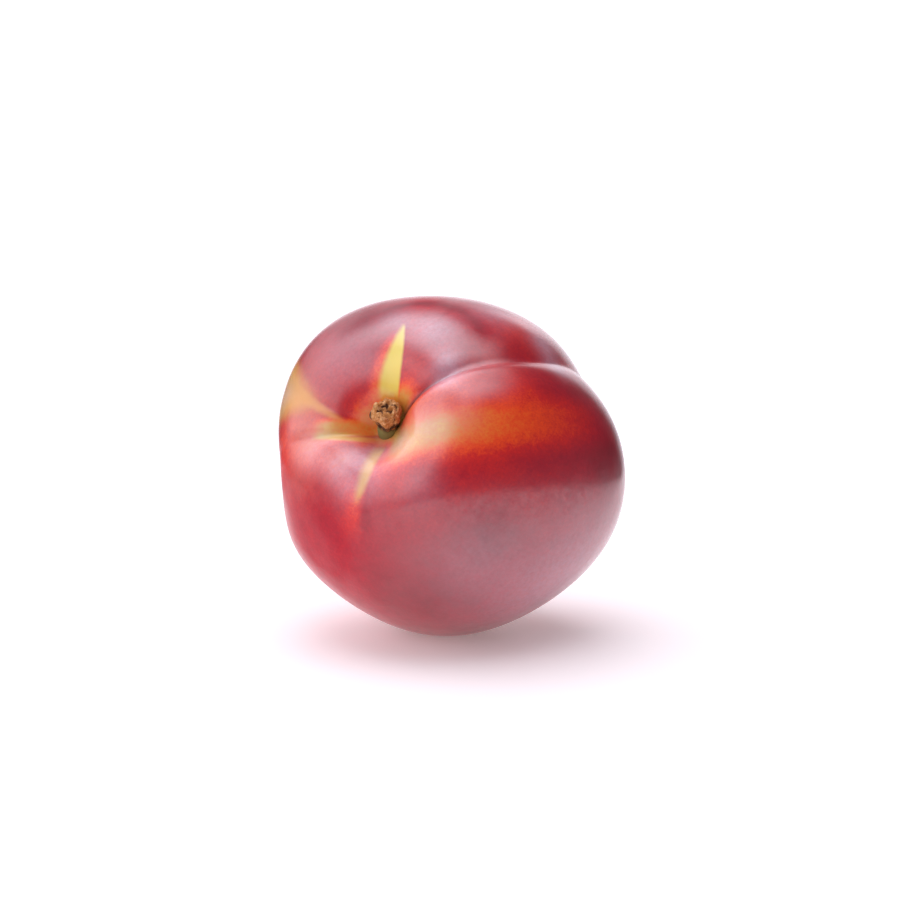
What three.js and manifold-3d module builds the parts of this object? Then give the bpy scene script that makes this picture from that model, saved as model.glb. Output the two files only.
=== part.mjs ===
// A ripe nectarine lying on its cheek, with the torn woody stub of its stem still in the cavity.
// Millimetres, +Z up. The origin is the middle of the small flat spot that the fruit rests on.
//
// The fruit is one grown piece and the stem stub is another. Both are worked out in the fruit's own frame:
// +Z leaves the stem cavity, and the suture, the long crease, leaves the cavity towards +X. A direction from
// the fruit's centre is given by two angles in degrees: polar, from the stem (0) to the tip (180), and
// azimuth, round the stem from the suture (0).
import * as THREE from "three";
import { mergeVertices } from "three/addons/utils/BufferGeometryUtils.js";
import Module from "manifold-3d";

// The fruit as a whole.
const FRUIT_RADIUS = 32.4;
const CENTRE = new THREE.Vector3(0.13, -0.66, 33.55); // the fruit's centre over the flat spot's middle
const LYING = { heading: -34, tilt: 68.5, roll: 45 }; // how the fruit's own frame is turned as it lies

// Broad swells and hollows of the cheeks: height at the middle and the angle over which it fades.
const SWELLS = [
  { name: "upper left cheek", polar: 64, azimuth: 98, height: 3.7, spread: 32 },
  { name: "lower left cheek", polar: 70.5, azimuth: 163.5, height: 2.6, spread: 30 },
  { name: "large right cheek", polar: 124, azimuth: -49, height: 2.8, spread: 34 },
  { name: "cheek that it lies on", polar: 114, azimuth: -139, height: 1.7, spread: 30 },
  { name: "hollow between left cheeks", polar: 63, azimuth: 155, height: -2.7, spread: 18 },
];

// The funnel round the stem, the suture, the short folds that leave the funnel, and the tip.
const CAVITY = {
  depth: 10,
  halfWidth: 14, // polar angle at which the funnel is half as deep
  steepness: 3,
  skew: 0.3, // how much wider it opens on its open side
  openSide: -10, // azimuth of that side
};
const SUTURE = {
  crease: 0.5, // depth of the sharp crease all the way to the tip
  cleft: 1.7, // what the crease is deeper by at the cavity
  cleftReach: 38,
  creaseWidth: 2,
  roundness: 0.4, // of the crease's bottom
  valley: 1.2, // the broad shallow valley that the crease runs in
  valleyWidth: 13,
  step: 0.75, // how much higher the large cheek's lip stands than the other lip
  nearStepWidth: 4.2, // on the large cheek's side, where the azimuth is negative
  farStepWidth: 1.6,
  stepReach: 30,
  stepMiddle: 42,
  stepLength: 38,
  bow: -4, // how far its azimuth leaves 0 where it bows out furthest
  bowMiddle: 68,
  bowLength: 28,
  ends: 0.06, // over how much of the radius it fades where it passes the stem and the tip
};
const FOLDS = [
  { name: "upper left fold", azimuth: 119.5, depth: 1.3, width: 3.6, reach: 24, roundness: 1.5 },
  { name: "left fold", azimuth: 149, depth: 1.9, width: 3.2, reach: 20, roundness: 0.8 },
  { name: "lower left fold", azimuth: -120, depth: 0.7, width: 4, reach: 22, roundness: 2 },
  { name: "upper fold", azimuth: 40, depth: 0.4, width: 5, reach: 26, roundness: 2 },
];
const FOLD_START = 14; // polar angle at which a fold is deepest
const FOLD_ROOT = 8; // polar angle over which a fold grows out of the funnel's floor
const TIP = { dimple: 1, dimpleWidth: 24, beak: 1.1, beakWidth: 5 };

// The stem stub, in a frame of its own whose +Z is the stub's axis and whose origin is its foot.
const STEM = { length: 7.2, footRadius: 2, waistRadius: 1.85, headRadius: 2.6, lean: 36, leanAzimuth: 7.5 };
const STEM_FOOT = new THREE.Vector3(0.6, 0.55, 21.3); // in the fruit's own frame
const BARK = { start: 1.4, full: 4.2, ridges: 0.07, waves: 0.05 }; // heights, and shares of the radius
const TEAR = { twofold: 0.32, fivefold: 0.26 }; // how far the torn edge rises and falls
const SOCKET_GAP = 0.3; // all round the foot, in the fruit
const SOCKET_TOP = 4; // how far up the stub the socket's cutter reaches

// Facets.
const MERIDIANS = 96;
const RINGS = 38;
const CROWDING = 0.35; // 0 spaces the meridians evenly, and near 1 draws them all to the suture
const RING_POWER = 1.35; // above 1 draws the rings towards the stem
const STEM_SIDES = 24;

const wasm = await Module();
wasm.setup();

const radians = THREE.MathUtils.degToRad;
const degrees = THREE.MathUtils.radToDeg;
const clamp = THREE.MathUtils.clamp;
const smoothstep = THREE.MathUtils.smoothstep;
const hump = (x) => Math.exp(-x * x);

/** How far x is past zero, with a rounded bottom instead of a sharp one. */
const roundedAbs = (x, roundness) => Math.hypot(x, roundness) - roundness;

/** The unit vector at a polar angle and an azimuth, in degrees. */
function direction(polar, azimuth) {
  const fromAxis = Math.sin(radians(polar));
  return new THREE.Vector3(
    fromAxis * Math.cos(radians(azimuth)),
    fromAxis * Math.sin(radians(azimuth)),
    Math.cos(radians(polar)),
  );
}

/** How far the cheeks' swells and hollows raise the skin. */
function swellHeight(way) {
  let height = 0;
  for (const swell of SWELLS) {
    const away = degrees(way.angleTo(direction(swell.polar, swell.azimuth)));
    height += swell.height * hump(away / swell.spread);
  }
  return height;
}

/** How deep the funnel round the stem is. */
function funnelDepth(polar, azimuth) {
  const opening = 1 + CAVITY.skew * Math.cos(radians(azimuth - CAVITY.openSide));
  return CAVITY.depth / (1 + (polar / (CAVITY.halfWidth * opening)) ** CAVITY.steepness);
}

/** The azimuth that the suture's crease has at a polar angle. */
const sutureAzimuth = (polar) => SUTURE.bow * hump((polar - SUTURE.bowMiddle) / SUTURE.bowLength);

/** How deep the suture is: a sharp crease in a broad valley, with one lip higher than the other. */
function sutureDepth(way, polar) {
  const bend = radians(sutureAzimuth(polar));
  const sideways = way.y * Math.cos(bend) - way.x * Math.sin(bend);
  const across = degrees(Math.asin(clamp(sideways, -1, 1)));
  const onItsHalf = 1 / (1 + Math.exp(-way.x / SUTURE.ends));
  const crease = (SUTURE.crease + SUTURE.cleft * hump(polar / SUTURE.cleftReach)) *
    Math.exp(-roundedAbs(across, SUTURE.roundness) / SUTURE.creaseWidth);
  const valley = SUTURE.valley * hump(across / SUTURE.valleyWidth) * Math.sqrt(Math.sin(radians(polar)));
  const stepWidth = across < 0 ? SUTURE.nearStepWidth : SUTURE.farStepWidth;
  const step = SUTURE.step * Math.tanh(across / stepWidth) * hump(across / SUTURE.stepReach) *
    hump((polar - SUTURE.stepMiddle) / SUTURE.stepLength);
  return onItsHalf * (crease + valley + step) * (1 - hump(polar / FOLD_ROOT));
}

/** How deep the short folds that leave the funnel are. */
function foldDepth(polar, azimuth) {
  let depth = 0;
  for (const fold of FOLDS) {
    const turn = radians(azimuth - fold.azimuth);
    if (Math.cos(turn) <= 0) continue;
    const across = degrees(Math.asin(Math.sin(radians(polar)) * Math.sin(turn)));
    const profile = Math.exp(-roundedAbs(across, fold.roundness) / fold.width);
    depth += fold.depth * profile * hump((polar - FOLD_START) / fold.reach);
  }
  return depth * (1 - hump(polar / FOLD_ROOT));
}

/** How far the tip stands out: a small beak in a shallow dimple. */
function tipHeight(polar) {
  const fromTip = 180 - polar;
  return TIP.beak * hump(fromTip / TIP.beakWidth) - TIP.dimple * hump(fromTip / TIP.dimpleWidth);
}

/** The fruit's radius in a direction given by its two angles. */
function fruitRadius(polar, azimuth) {
  const way = direction(polar, azimuth);
  const raised = FRUIT_RADIUS + swellHeight(way) + tipHeight(polar);
  return raised - funnelDepth(polar, azimuth) - sutureDepth(way, polar) - foldDepth(polar, azimuth);
}

/** A geometry's position-only copy as a solid. */
function toSolid(geometry) {
  const bare = geometry.clone();
  bare.deleteAttribute("normal");
  bare.deleteAttribute("uv");
  const merged = mergeVertices(bare, 1e-4);
  return new wasm.Manifold(
    new wasm.Mesh({
      numProp: 3,
      vertProperties: new Float32Array(merged.attributes.position.array),
      triVerts: new Uint32Array(merged.index.array),
    }),
  );
}

/** A solid as a geometry. */
function toGeometry(solid) {
  const mesh = solid.getMesh();
  const geometry = new THREE.BufferGeometry();
  geometry.setAttribute("position", new THREE.BufferAttribute(new Float32Array(mesh.vertProperties), 3));
  geometry.setIndex(new THREE.BufferAttribute(new Uint32Array(mesh.triVerts), 1));
  geometry.computeVertexNormals();
  return geometry;
}

/**
 * The whole fruit's skin in its own frame: a globe whose points are moved out to the fruit's radius.
 * The meridians near the suture bow out with it, so that one of them runs along the crease.
 */
function skinGeometry() {
  const geometry = new THREE.SphereGeometry(1, MERIDIANS, RINGS).rotateX(Math.PI / 2);
  const position = geometry.attributes.position;
  const point = new THREE.Vector3();
  for (let i = 0; i < position.count; i++) {
    point.fromBufferAttribute(position, i);
    const evenAzimuth = Math.atan2(point.y, point.x);
    const evenPolar = Math.acos(clamp(point.z, -1, 1));
    const polar = 180 * (evenPolar / Math.PI) ** RING_POWER;
    const follow = (1 + Math.cos(evenAzimuth)) / 2;
    const crowded = degrees(evenAzimuth - CROWDING * Math.sin(evenAzimuth));
    const azimuth = crowded + follow * sutureAzimuth(polar);
    point.copy(direction(polar, azimuth)).multiplyScalar(fruitRadius(polar, azimuth));
    position.setXYZ(i, point.x, point.y, point.z);
  }
  return geometry;
}

/** The stub's outline from the middle of its foot, up its side and over its torn head to the axis. */
function stemProfile() {
  const { length, footRadius, waistRadius, headRadius } = STEM;
  return [
    new THREE.Vector2(0, 0),
    new THREE.Vector2(footRadius, 0),
    new THREE.Vector2(footRadius, BARK.start),
    new THREE.Vector2(waistRadius, 2.6),
    new THREE.Vector2(waistRadius * 1.06, 3.4),
    new THREE.Vector2(headRadius * 0.94, BARK.full),
    new THREE.Vector2(headRadius, 5),
    new THREE.Vector2(headRadius * 0.98, length - 0.8),
    new THREE.Vector2(headRadius * 0.82, length - 0.1),
    new THREE.Vector2(headRadius * 0.6, length),
    new THREE.Vector2(headRadius * 0.32, length - 0.35),
    new THREE.Vector2(0, length - 0.5),
  ];
}

/** The stub in its own frame: bark ridges up the side, and a head that is torn off unevenly. */
function stemGeometry() {
  const geometry = new THREE.LatheGeometry(stemProfile(), STEM_SIDES).rotateX(Math.PI / 2);
  const position = geometry.attributes.position;
  const point = new THREE.Vector3();
  for (let i = 0; i < position.count; i++) {
    point.fromBufferAttribute(position, i);
    const turn = Math.atan2(point.y, point.x);
    const fromAxis = Math.hypot(point.x, point.y) / STEM.headRadius;
    const grown = smoothstep(point.z, BARK.start, BARK.full);
    const ridges = BARK.ridges * Math.sin(6 * turn + 0.5 * point.z) + BARK.waves * Math.sin(3 * turn + 1.7);
    const tear = TEAR.twofold * Math.sin(2 * turn + 0.6) + TEAR.fivefold * Math.sin(5 * turn + 2.1);
    const outwards = 1 + grown * ridges;
    const upwards = grown * tear * fromAxis;
    position.setXYZ(i, point.x * outwards, point.y * outwards, point.z + upwards);
  }
  return geometry;
}

// Where things stand: the fruit's own frame as it lies, and in it the stub's frame.
const lying = new THREE.Matrix4()
  .makeRotationZ(radians(LYING.heading))
  .multiply(new THREE.Matrix4().makeRotationX(radians(LYING.tilt)))
  .multiply(new THREE.Matrix4().makeRotationZ(radians(LYING.roll)))
  .setPosition(CENTRE);
const leaning = new THREE.Matrix4()
  .makeRotationZ(radians(STEM.leanAzimuth))
  .multiply(new THREE.Matrix4().makeRotationY(radians(STEM.lean)))
  .setPosition(STEM_FOOT);

/** The socket's cutter: a plain round bar from just under the stub's foot, as the fruit lies. */
function socketGeometry() {
  const radius = STEM.footRadius + SOCKET_GAP;
  const length = SOCKET_GAP + SOCKET_TOP;
  return new THREE.CylinderGeometry(radius, radius, length, STEM_SIDES)
    .rotateX(Math.PI / 2)
    .translate(0, 0, length / 2 - SOCKET_GAP)
    .applyMatrix4(leaning)
    .applyMatrix4(lying);
}

/** The fruit as it lies, less its flat spot and the socket that the stub stands in. */
function fruitGeometry() {
  const skin = toSolid(skinGeometry().applyMatrix4(lying));
  const slab = 4 * FRUIT_RADIUS;
  const below = toSolid(new THREE.BoxGeometry(slab, slab, slab).translate(0, 0, -slab / 2));
  return toGeometry(skin.subtract(below).subtract(toSolid(socketGeometry())));
}

const skinMaterial = new THREE.MeshStandardMaterial({ color: 0x9b2036, roughness: 0.32, metalness: 0 });
const woodMaterial = new THREE.MeshStandardMaterial({ color: 0x8a5a2c, roughness: 0.85, metalness: 0 });

const fruit = new THREE.Mesh(fruitGeometry(), skinMaterial);
fruit.name = "fruit";

const stem = new THREE.Mesh(stemGeometry(), woodMaterial);
stem.name = "stem";
stem.applyMatrix4(new THREE.Matrix4().multiplyMatrices(lying, leaning));

const nectarine = new THREE.Group();
nectarine.add(fruit, stem);

export default nectarine;
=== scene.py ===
"""A ripe nectarine lying on its cheek: its skin, the torn stub of its stem, and a plain studio round it.

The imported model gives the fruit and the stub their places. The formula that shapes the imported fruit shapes
the fine skin here too, with a sharper crease. The skin's markings are worked out in the fruit's own frame: +Z
leaves the stem cavity and the suture leaves the cavity towards +X. A direction from the fruit's centre is two
angles in degrees: polar, from the stem (0) to the tip (180), and azimuth, round the stem from the suture.
"""

import logging
import math
from dataclasses import dataclass
from enum import Enum
from typing import Any, Callable, Dict, List, Optional, Sequence, Tuple, Union

import bmesh
import bpy
import numpy as np
from mathutils import Euler, Matrix, Vector, noise


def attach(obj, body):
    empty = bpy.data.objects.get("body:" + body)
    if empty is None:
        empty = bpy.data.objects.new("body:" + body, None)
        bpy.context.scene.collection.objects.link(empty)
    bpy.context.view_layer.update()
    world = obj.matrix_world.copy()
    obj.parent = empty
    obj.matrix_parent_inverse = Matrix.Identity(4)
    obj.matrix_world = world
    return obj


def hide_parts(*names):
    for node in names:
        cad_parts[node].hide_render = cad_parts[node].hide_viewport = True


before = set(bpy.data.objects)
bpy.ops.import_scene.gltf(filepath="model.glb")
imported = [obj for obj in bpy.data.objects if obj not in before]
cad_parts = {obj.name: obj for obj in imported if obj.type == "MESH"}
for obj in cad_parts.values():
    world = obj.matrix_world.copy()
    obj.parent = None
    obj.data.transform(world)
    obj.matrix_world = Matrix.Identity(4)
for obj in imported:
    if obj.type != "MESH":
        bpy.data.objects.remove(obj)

MM = 0.001
WELD = 1e-7  # metres within which points on an axis are one
TUBE_END = 0.9999  # how far up or down a tube of half height 1 its end rings lie
AHEAD = 1e-4  # the least share of a direction that counts as ahead, which keeps angles finite
ON_AXIS = 1e-9  # the least squared distance from the stem's axis, which keeps azimuths finite
LOG = logging.getLogger("nectarine")

Colour = Tuple[float, float, float, float]
Stops = Sequence[Tuple[float, Colour]]
Pair = Tuple[float, float]


class Body(Enum):
    """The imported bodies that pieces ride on."""

    ROOT = "root"


class Node(Enum):
    """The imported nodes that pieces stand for."""

    FRUIT = "fruit"
    STEM = "stem"


class Slot(Enum):
    """The record's material slots."""

    SKIN = "fruit_skin"
    WOOD = "stem_wood"


# ---- Shader maths written as Python ----


def binary(operation: str, swapped: bool = False) -> Callable[["Wire", "Number"], "Wire"]:
    """Makes a method that adds a Math node for an operation on a wire and another number.

    Args:
        operation: The Math node's operation.
        swapped: Whether the other number comes first.

    Returns:
        The method.
    """

    def method(self: "Wire", other: "Number") -> "Wire":
        """The result of the operation, as a wire."""
        return self.graph.math(operation, *((other, self) if swapped else (self, other)))

    return method


class Wire:
    """A number on its way through a node tree, so that shader maths reads as a Python expression."""

    def __init__(self, graph: "Graph", socket: bpy.types.NodeSocket) -> None:
        """Wraps an output socket of one of the graph's nodes."""
        self.graph = graph
        self.socket = socket

    __add__ = binary("ADD")
    __radd__ = binary("ADD", swapped=True)
    __sub__ = binary("SUBTRACT")
    __rsub__ = binary("SUBTRACT", swapped=True)
    __mul__ = binary("MULTIPLY")
    __rmul__ = binary("MULTIPLY", swapped=True)
    __truediv__ = binary("DIVIDE")
    __pow__ = binary("POWER")
    least = binary("MINIMUM")
    most = binary("MAXIMUM")

    def size(self) -> "Wire":
        """The number without its sign."""
        return self.graph.math("ABSOLUTE", self)

    def exp(self) -> "Wire":
        """e to the power of the number."""
        return self.graph.math("EXPONENT", self)

    def ramp(self, low: "Number", high: "Number") -> "Wire":
        """Rises from 0 to 1 between two values, with both ends rounded.

        Args:
            low: Where it starts.
            high: Where it ends; a value under low makes it fall instead.

        Returns:
            The number from 0 to 1.
        """
        sockets = {"Value": self, "From Min": low, "From Max": high}
        return self.graph.add("ShaderNodeMapRange", {"interpolation_type": "SMOOTHSTEP"}, sockets)

    def towards(self, target: "Number", share: "Number") -> "Wire":
        """Moves the number towards a target by a share from 0 to 1."""
        return self + share * (self.graph.math("SUBTRACT", target, self))


Number = Union[float, Wire]


class Graph:
    """A node tree, with one method that adds any node."""

    def __init__(self, tree: bpy.types.NodeTree) -> None:
        """Empties the tree, ready for new nodes."""
        self.tree = tree
        tree.nodes.clear()

    def add(
        self,
        kind: str,
        settings: Optional[Dict[str, Any]] = None,
        sockets: Optional[Dict[Union[str, int], Any]] = None,
        output: Union[str, int] = 0,
    ) -> Wire:
        """Adds a node.

        Args:
            kind: The node's type.
            settings: The node's own properties, set first. "stops" holds a colour ramp's stops.
            sockets: Values or wires for its inputs, by name or place.
            output: The output to hand on, by name or place.

        Returns:
            The chosen output as a wire.
        """
        node = self.tree.nodes.new(kind)
        for name, value in (settings or {}).items():
            if name == "stops":
                self._set_stops(node.color_ramp, value)
            else:
                setattr(node, name, value)
        for name, value in (sockets or {}).items():
            if isinstance(value, Wire):
                self.tree.links.new(value.socket, node.inputs[name])
            else:
                node.inputs[name].default_value = value
        return Wire(self, node.outputs[output]) if len(node.outputs) else Wire(self, node.inputs[0])

    @staticmethod
    def _set_stops(ramp: bpy.types.ColorRamp, stops: Stops) -> None:
        """Gives a colour ramp its stops."""
        while len(ramp.elements) > 1:
            ramp.elements.remove(ramp.elements[-1])
        ramp.elements[0].position = stops[0][0]
        ramp.elements[0].color = stops[0][1]
        for place, colour in stops[1:]:
            ramp.elements.new(place).color = colour

    def math(self, operation: str, *values: Number) -> Wire:
        """Adds a Math node for one operation on numbers."""
        return self.add("ShaderNodeMath", {"operation": operation}, dict(enumerate(values)))

    def vector(self, operation: str, *values: Any, output: Union[str, int] = 0) -> Wire:
        """Adds a Vector Math node for one operation on vectors."""
        return self.add("ShaderNodeVectorMath", {"operation": operation}, dict(enumerate(values)), output)

    def dot(self, vector: Wire, way: Vector) -> Wire:
        """How far a vector points in a direction."""
        return self.vector("DOT_PRODUCT", vector, tuple(way), output="Value")

    def colour_ramp(self, factor: Wire, stops: Stops) -> Wire:
        """The colour that a ramp gives for a number from 0 to 1."""
        return self.add("ShaderNodeValToRGB", {"stops": stops}, {"Fac": factor}, "Color")

    def mix(self, share: Number, first: Any, second: Any) -> Wire:
        """Mixes two colours: the share, from 0 to 1, is how much there is of the second."""
        return self.add("ShaderNodeMix", {"data_type": "RGBA"}, {0: share, 6: first, 7: second}, 2)

    def surface(self, sockets: Dict[Union[str, int], Any]) -> None:
        """Ends the tree with one plain surface that has the given values and wires."""
        shader = self.add("ShaderNodeBsdfPrincipled", None, sockets)
        self.add("ShaderNodeOutputMaterial", None, {"Surface": shader})


@dataclass(frozen=True)
class Grain:
    """A layer of soft noise round 0: the size of its largest blotches in metres, and how strong it is.

    Detail is how many finer layers it has, and roughness is how strong those are.
    """

    size: float
    strength: float = 1.0
    detail: float = 2.0
    roughness: float = 0.5

    def read(self, place: Wire) -> Wire:
        """The noise at a place, mostly within 0.3 of the strength on both sides of 0."""
        sockets = {"Vector": place, "Scale": 1.0 / self.size}
        sockets.update({"Detail": self.detail, "Roughness": self.roughness})
        return self.strength * (place.graph.add("ShaderNodeTexNoise", None, sockets) - 0.5)


def new_material(name: str) -> Tuple[bpy.types.Material, Graph]:
    """Makes an empty material and hands it on with its graph."""
    material = bpy.data.materials.new(name)
    material.use_nodes = True
    return material, Graph(material.node_tree)


# ---- The fruit's own frame and its form ----


def hump(x: Any) -> Any:
    """A bell that is 1 at 0 and fades to nothing on both sides."""
    return np.exp(-np.square(x))


def rounded_size(x: Any, roundness: float) -> Any:
    """How far x is from zero, with a rounded bottom instead of a sharp one."""
    return np.hypot(x, roundness) - roundness


def direction(polar: float, azimuth: float) -> Vector:
    """The unit vector at two angles in degrees, in the fruit's own frame."""
    turned = Euler((0.0, math.radians(polar), math.radians(azimuth))).to_matrix()
    return turned @ Vector((0.0, 0.0, 1.0))


@dataclass(frozen=True)
class FruitFrame:
    """How the fruit's own frame lies in the row frame, in metres and degrees."""

    centre: Tuple[float, float, float] = (0.13 * MM, -0.66 * MM, 33.55 * MM)
    heading: float = -34.0
    tilt: float = 68.5
    roll: float = 45.0

    def matrix(self) -> Matrix:
        """Carries points from the fruit's own frame to the row frame."""
        turned = Matrix.Rotation(math.radians(self.heading), 4, "Z")
        turned = turned @ Matrix.Rotation(math.radians(self.tilt), 4, "X")
        turned = turned @ Matrix.Rotation(math.radians(self.roll), 4, "Z")
        return Matrix.Translation(self.centre) @ turned

    def place(self, graph: Graph) -> Wire:
        """The shaded point in the fruit's own frame, in metres."""
        point = graph.add("ShaderNodeTexCoord", output="Object")
        turn = self.matrix().to_euler("XYZ")
        sockets = {"Vector": point, "Location": self.centre, "Rotation": turn}
        return graph.add("ShaderNodeMapping", {"vector_type": "TEXTURE"}, sockets)


@dataclass(frozen=True)
class Swell:
    """A broad swell or hollow of a cheek: its middle, its height there and the angle over which it fades."""

    name: str
    polar: float
    azimuth: float
    height: float
    spread: float


@dataclass(frozen=True)
class Fold:
    """A short fold that leaves the cavity: its azimuth, its depth, and its sizes in degrees."""

    name: str
    azimuth: float
    depth: float
    width: float
    reach: float
    roundness: float


@dataclass(frozen=True)
class Cavity:
    """The funnel round the stem."""

    depth: float = 10.0 * MM
    half_width: float = 14.0
    steepness: float = 3.0
    skew: float = 0.3
    open_side: float = -10.0

    def depth_at(self, polar: np.ndarray, azimuth: np.ndarray) -> np.ndarray:
        """How deep the funnel is at the given angles."""
        opening = 1.0 + self.skew * np.cos(np.radians(azimuth - self.open_side))
        return self.depth / (1.0 + (polar / (self.half_width * opening)) ** self.steepness)


@dataclass(frozen=True)
class Suture:
    """The long crease between the cheeks: a sharp crease in a broad valley, with one lip higher.

    The near side is the large cheek's, where the azimuth is negative.
    """

    crease: float = 0.5 * MM
    cleft: float = 1.7 * MM
    cleft_reach: float = 38.0
    crease_width: float = 1.1
    widening: float = 0.025
    roundness: float = 0.35
    valley: float = 1.2 * MM
    valley_width: float = 13.0
    step: float = 0.75 * MM
    near_step_width: float = 4.2
    far_step_width: float = 1.6
    step_reach: float = 30.0
    step_middle: float = 42.0
    step_length: float = 38.0
    bow: float = -4.0
    bow_middle: float = 68.0
    bow_length: float = 28.0
    ends: float = 0.06

    def depth_at(self, ways: np.ndarray, polar: np.ndarray) -> np.ndarray:
        """How deep the suture is in the given directions."""
        bend = np.radians(self.bow * hump((polar - self.bow_middle) / self.bow_length))
        across = ways[:, 1] * np.cos(bend) - ways[:, 0] * np.sin(bend)
        across = np.degrees(np.arcsin(np.clip(across, -1.0, 1.0)))
        on_its_half = 1.0 / (1.0 + np.exp(-ways[:, 0] / self.ends))
        crease_width = self.crease_width + self.widening * polar
        sharp = np.exp(-rounded_size(across, self.roundness) / crease_width)
        crease = (self.crease + self.cleft * hump(polar / self.cleft_reach)) * sharp
        valley = self.valley * hump(across / self.valley_width) * np.sqrt(np.abs(np.sin(np.radians(polar))))
        step_width = np.where(across < 0.0, self.near_step_width, self.far_step_width)
        step = self.step * np.tanh(across / step_width) * hump(across / self.step_reach)
        step = step * hump((polar - self.step_middle) / self.step_length)
        return on_its_half * (crease + valley + step)


@dataclass(frozen=True)
class FruitForm:
    """The fruit's radius in every direction from its centre."""

    radius: float = 32.4 * MM
    swells: Tuple[Swell, ...] = (
        Swell("upper left cheek", 64.0, 98.0, 3.7 * MM, 32.0),
        Swell("lower left cheek", 70.5, 163.5, 2.6 * MM, 30.0),
        Swell("large right cheek", 124.0, -49.0, 2.8 * MM, 34.0),
        Swell("cheek that it lies on", 114.0, -139.0, 1.7 * MM, 30.0),
        Swell("hollow between left cheeks", 63.0, 155.0, -2.7 * MM, 18.0),
    )
    cavity: Cavity = Cavity()
    suture: Suture = Suture()
    folds: Tuple[Fold, ...] = (
        Fold("upper left fold", 119.5, 1.3 * MM, 3.6, 24.0, 1.5),
        Fold("left fold", 149.0, 1.9 * MM, 3.2, 20.0, 0.8),
        Fold("lower left fold", -120.0, 0.7 * MM, 4.0, 22.0, 2.0),
        Fold("upper fold", 40.0, 0.4 * MM, 5.0, 26.0, 2.0),
    )
    fold_start: float = 14.0
    fold_root: float = 8.0
    tip_dimple: float = 1.0 * MM
    tip_dimple_width: float = 24.0
    tip_beak: float = 1.1 * MM
    tip_beak_width: float = 5.0

    def _fold_depth(self, polar: np.ndarray, azimuth: np.ndarray) -> np.ndarray:
        """How deep the short folds are at the given angles."""
        depth = np.zeros_like(polar)
        for fold in self.folds:
            turn = np.radians(azimuth - fold.azimuth)
            across = np.degrees(np.arcsin(np.clip(np.sin(np.radians(polar)) * np.sin(turn), -1.0, 1.0)))
            profile = np.exp(-rounded_size(across, fold.roundness) / fold.width)
            reach = hump((polar - self.fold_start) / fold.reach)
            depth += np.where(np.cos(turn) > 0.0, fold.depth * profile * reach, 0.0)
        return depth

    def radius_at(self, polar: np.ndarray, azimuth: np.ndarray) -> Tuple[np.ndarray, np.ndarray]:
        """The fruit's radius at many pairs of angles.

        Args:
            polar: Angles from the stem, in degrees.
            azimuth: Angles round the stem, in degrees.

        Returns:
            The unit vectors, one a row, and the radius along each, in metres.
        """
        from_axis = np.sin(np.radians(polar))
        ways = np.stack(
            [
                from_axis * np.cos(np.radians(azimuth)),
                from_axis * np.sin(np.radians(azimuth)),
                np.cos(np.radians(polar)),
            ],
            axis=-1,
        )
        radius = np.full_like(polar, self.radius)
        for swell in self.swells:
            middle = np.array(direction(swell.polar, swell.azimuth))
            away = np.degrees(np.arccos(np.clip(ways @ middle, -1.0, 1.0)))
            radius += swell.height * hump(away / swell.spread)
        grown = 1.0 - hump(polar / self.fold_root)
        radius -= self.cavity.depth_at(polar, azimuth)
        radius -= (self.suture.depth_at(ways, polar) + self._fold_depth(polar, azimuth)) * grown
        from_tip = 180.0 - polar
        radius += self.tip_beak * hump(from_tip / self.tip_beak_width)
        radius -= self.tip_dimple * hump(from_tip / self.tip_dimple_width)
        return ways, radius


# ---- The skin's markings and finish ----


def on_map(place: Pair) -> Vector:
    """A polar angle and an azimuth as a point of the map that unrolls the skin round the stem."""
    azimuth = math.radians(place[1])
    return Vector((place[0] * math.cos(azimuth), place[0] * math.sin(azimuth)))


@dataclass(frozen=True)
class Blotch:
    """A soft patch of the skin: its middle, how wide it is in degrees, and how much it changes there."""

    name: str
    polar: float
    azimuth: float
    spread: float
    change: float


@dataclass(frozen=True)
class Streak:
    """A pale or dark streak on the map of the skin, which unrolls it round the stem.

    On the map a point lies as far from the stem as its polar angle, in the direction of its azimuth. So every
    size is in degrees. Left and right are seen from the start. The tones at its start and end are ripeness.
    The fullness says how far along it stays wide, and the bow how far its middle stands out to the left.
    """

    name: str
    start: Pair
    end: Pair
    half_width: float
    end_half_width: float
    fullness: float
    left_edge: float
    right_edge: float
    tones: Pair
    strength: float = 1.0
    bow: float = 0.0
    start_fade: float = 3.0
    end_fade: float = 4.0

    def cover(self, chart: Tuple[Wire, Wire], ragged: Wire) -> Tuple[Wire, Wire]:
        """Finds the streak on the skin.

        Args:
            chart: The shaded point on the map.
            ragged: Noise round 0 that makes its edges uneven.

        Returns:
            How much of the streak shows at the point, and its tone there.
        """
        start = on_map(self.start)
        run = on_map(self.end) - start
        length = run.length
        run = run / length
        from_start = (chart[0] - start.x, chart[1] - start.y)
        forward = from_start[0] * run.x + from_start[1] * run.y
        share = (forward / length).most(0.0).least(1.0)
        across = from_start[1] * run.x - from_start[0] * run.y
        across = across - (4.0 * self.bow) * share * (1.0 - share)
        width = self.end_half_width + (self.half_width - self.end_half_width) * (1.0 - share**self.fullness)
        left = (width - across + ragged * self.left_edge).ramp(-self.left_edge, self.left_edge)
        right = (width + across + ragged * self.right_edge).ramp(-self.right_edge, self.right_edge)
        begun = forward.ramp(-self.start_fade, self.start_fade)
        ended = forward.ramp(length + self.end_fade, length - self.end_fade)
        tone = self.tones[0] + (self.tones[1] - self.tones[0]) * share
        return self.strength * left * right * begun * ended, tone


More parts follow.
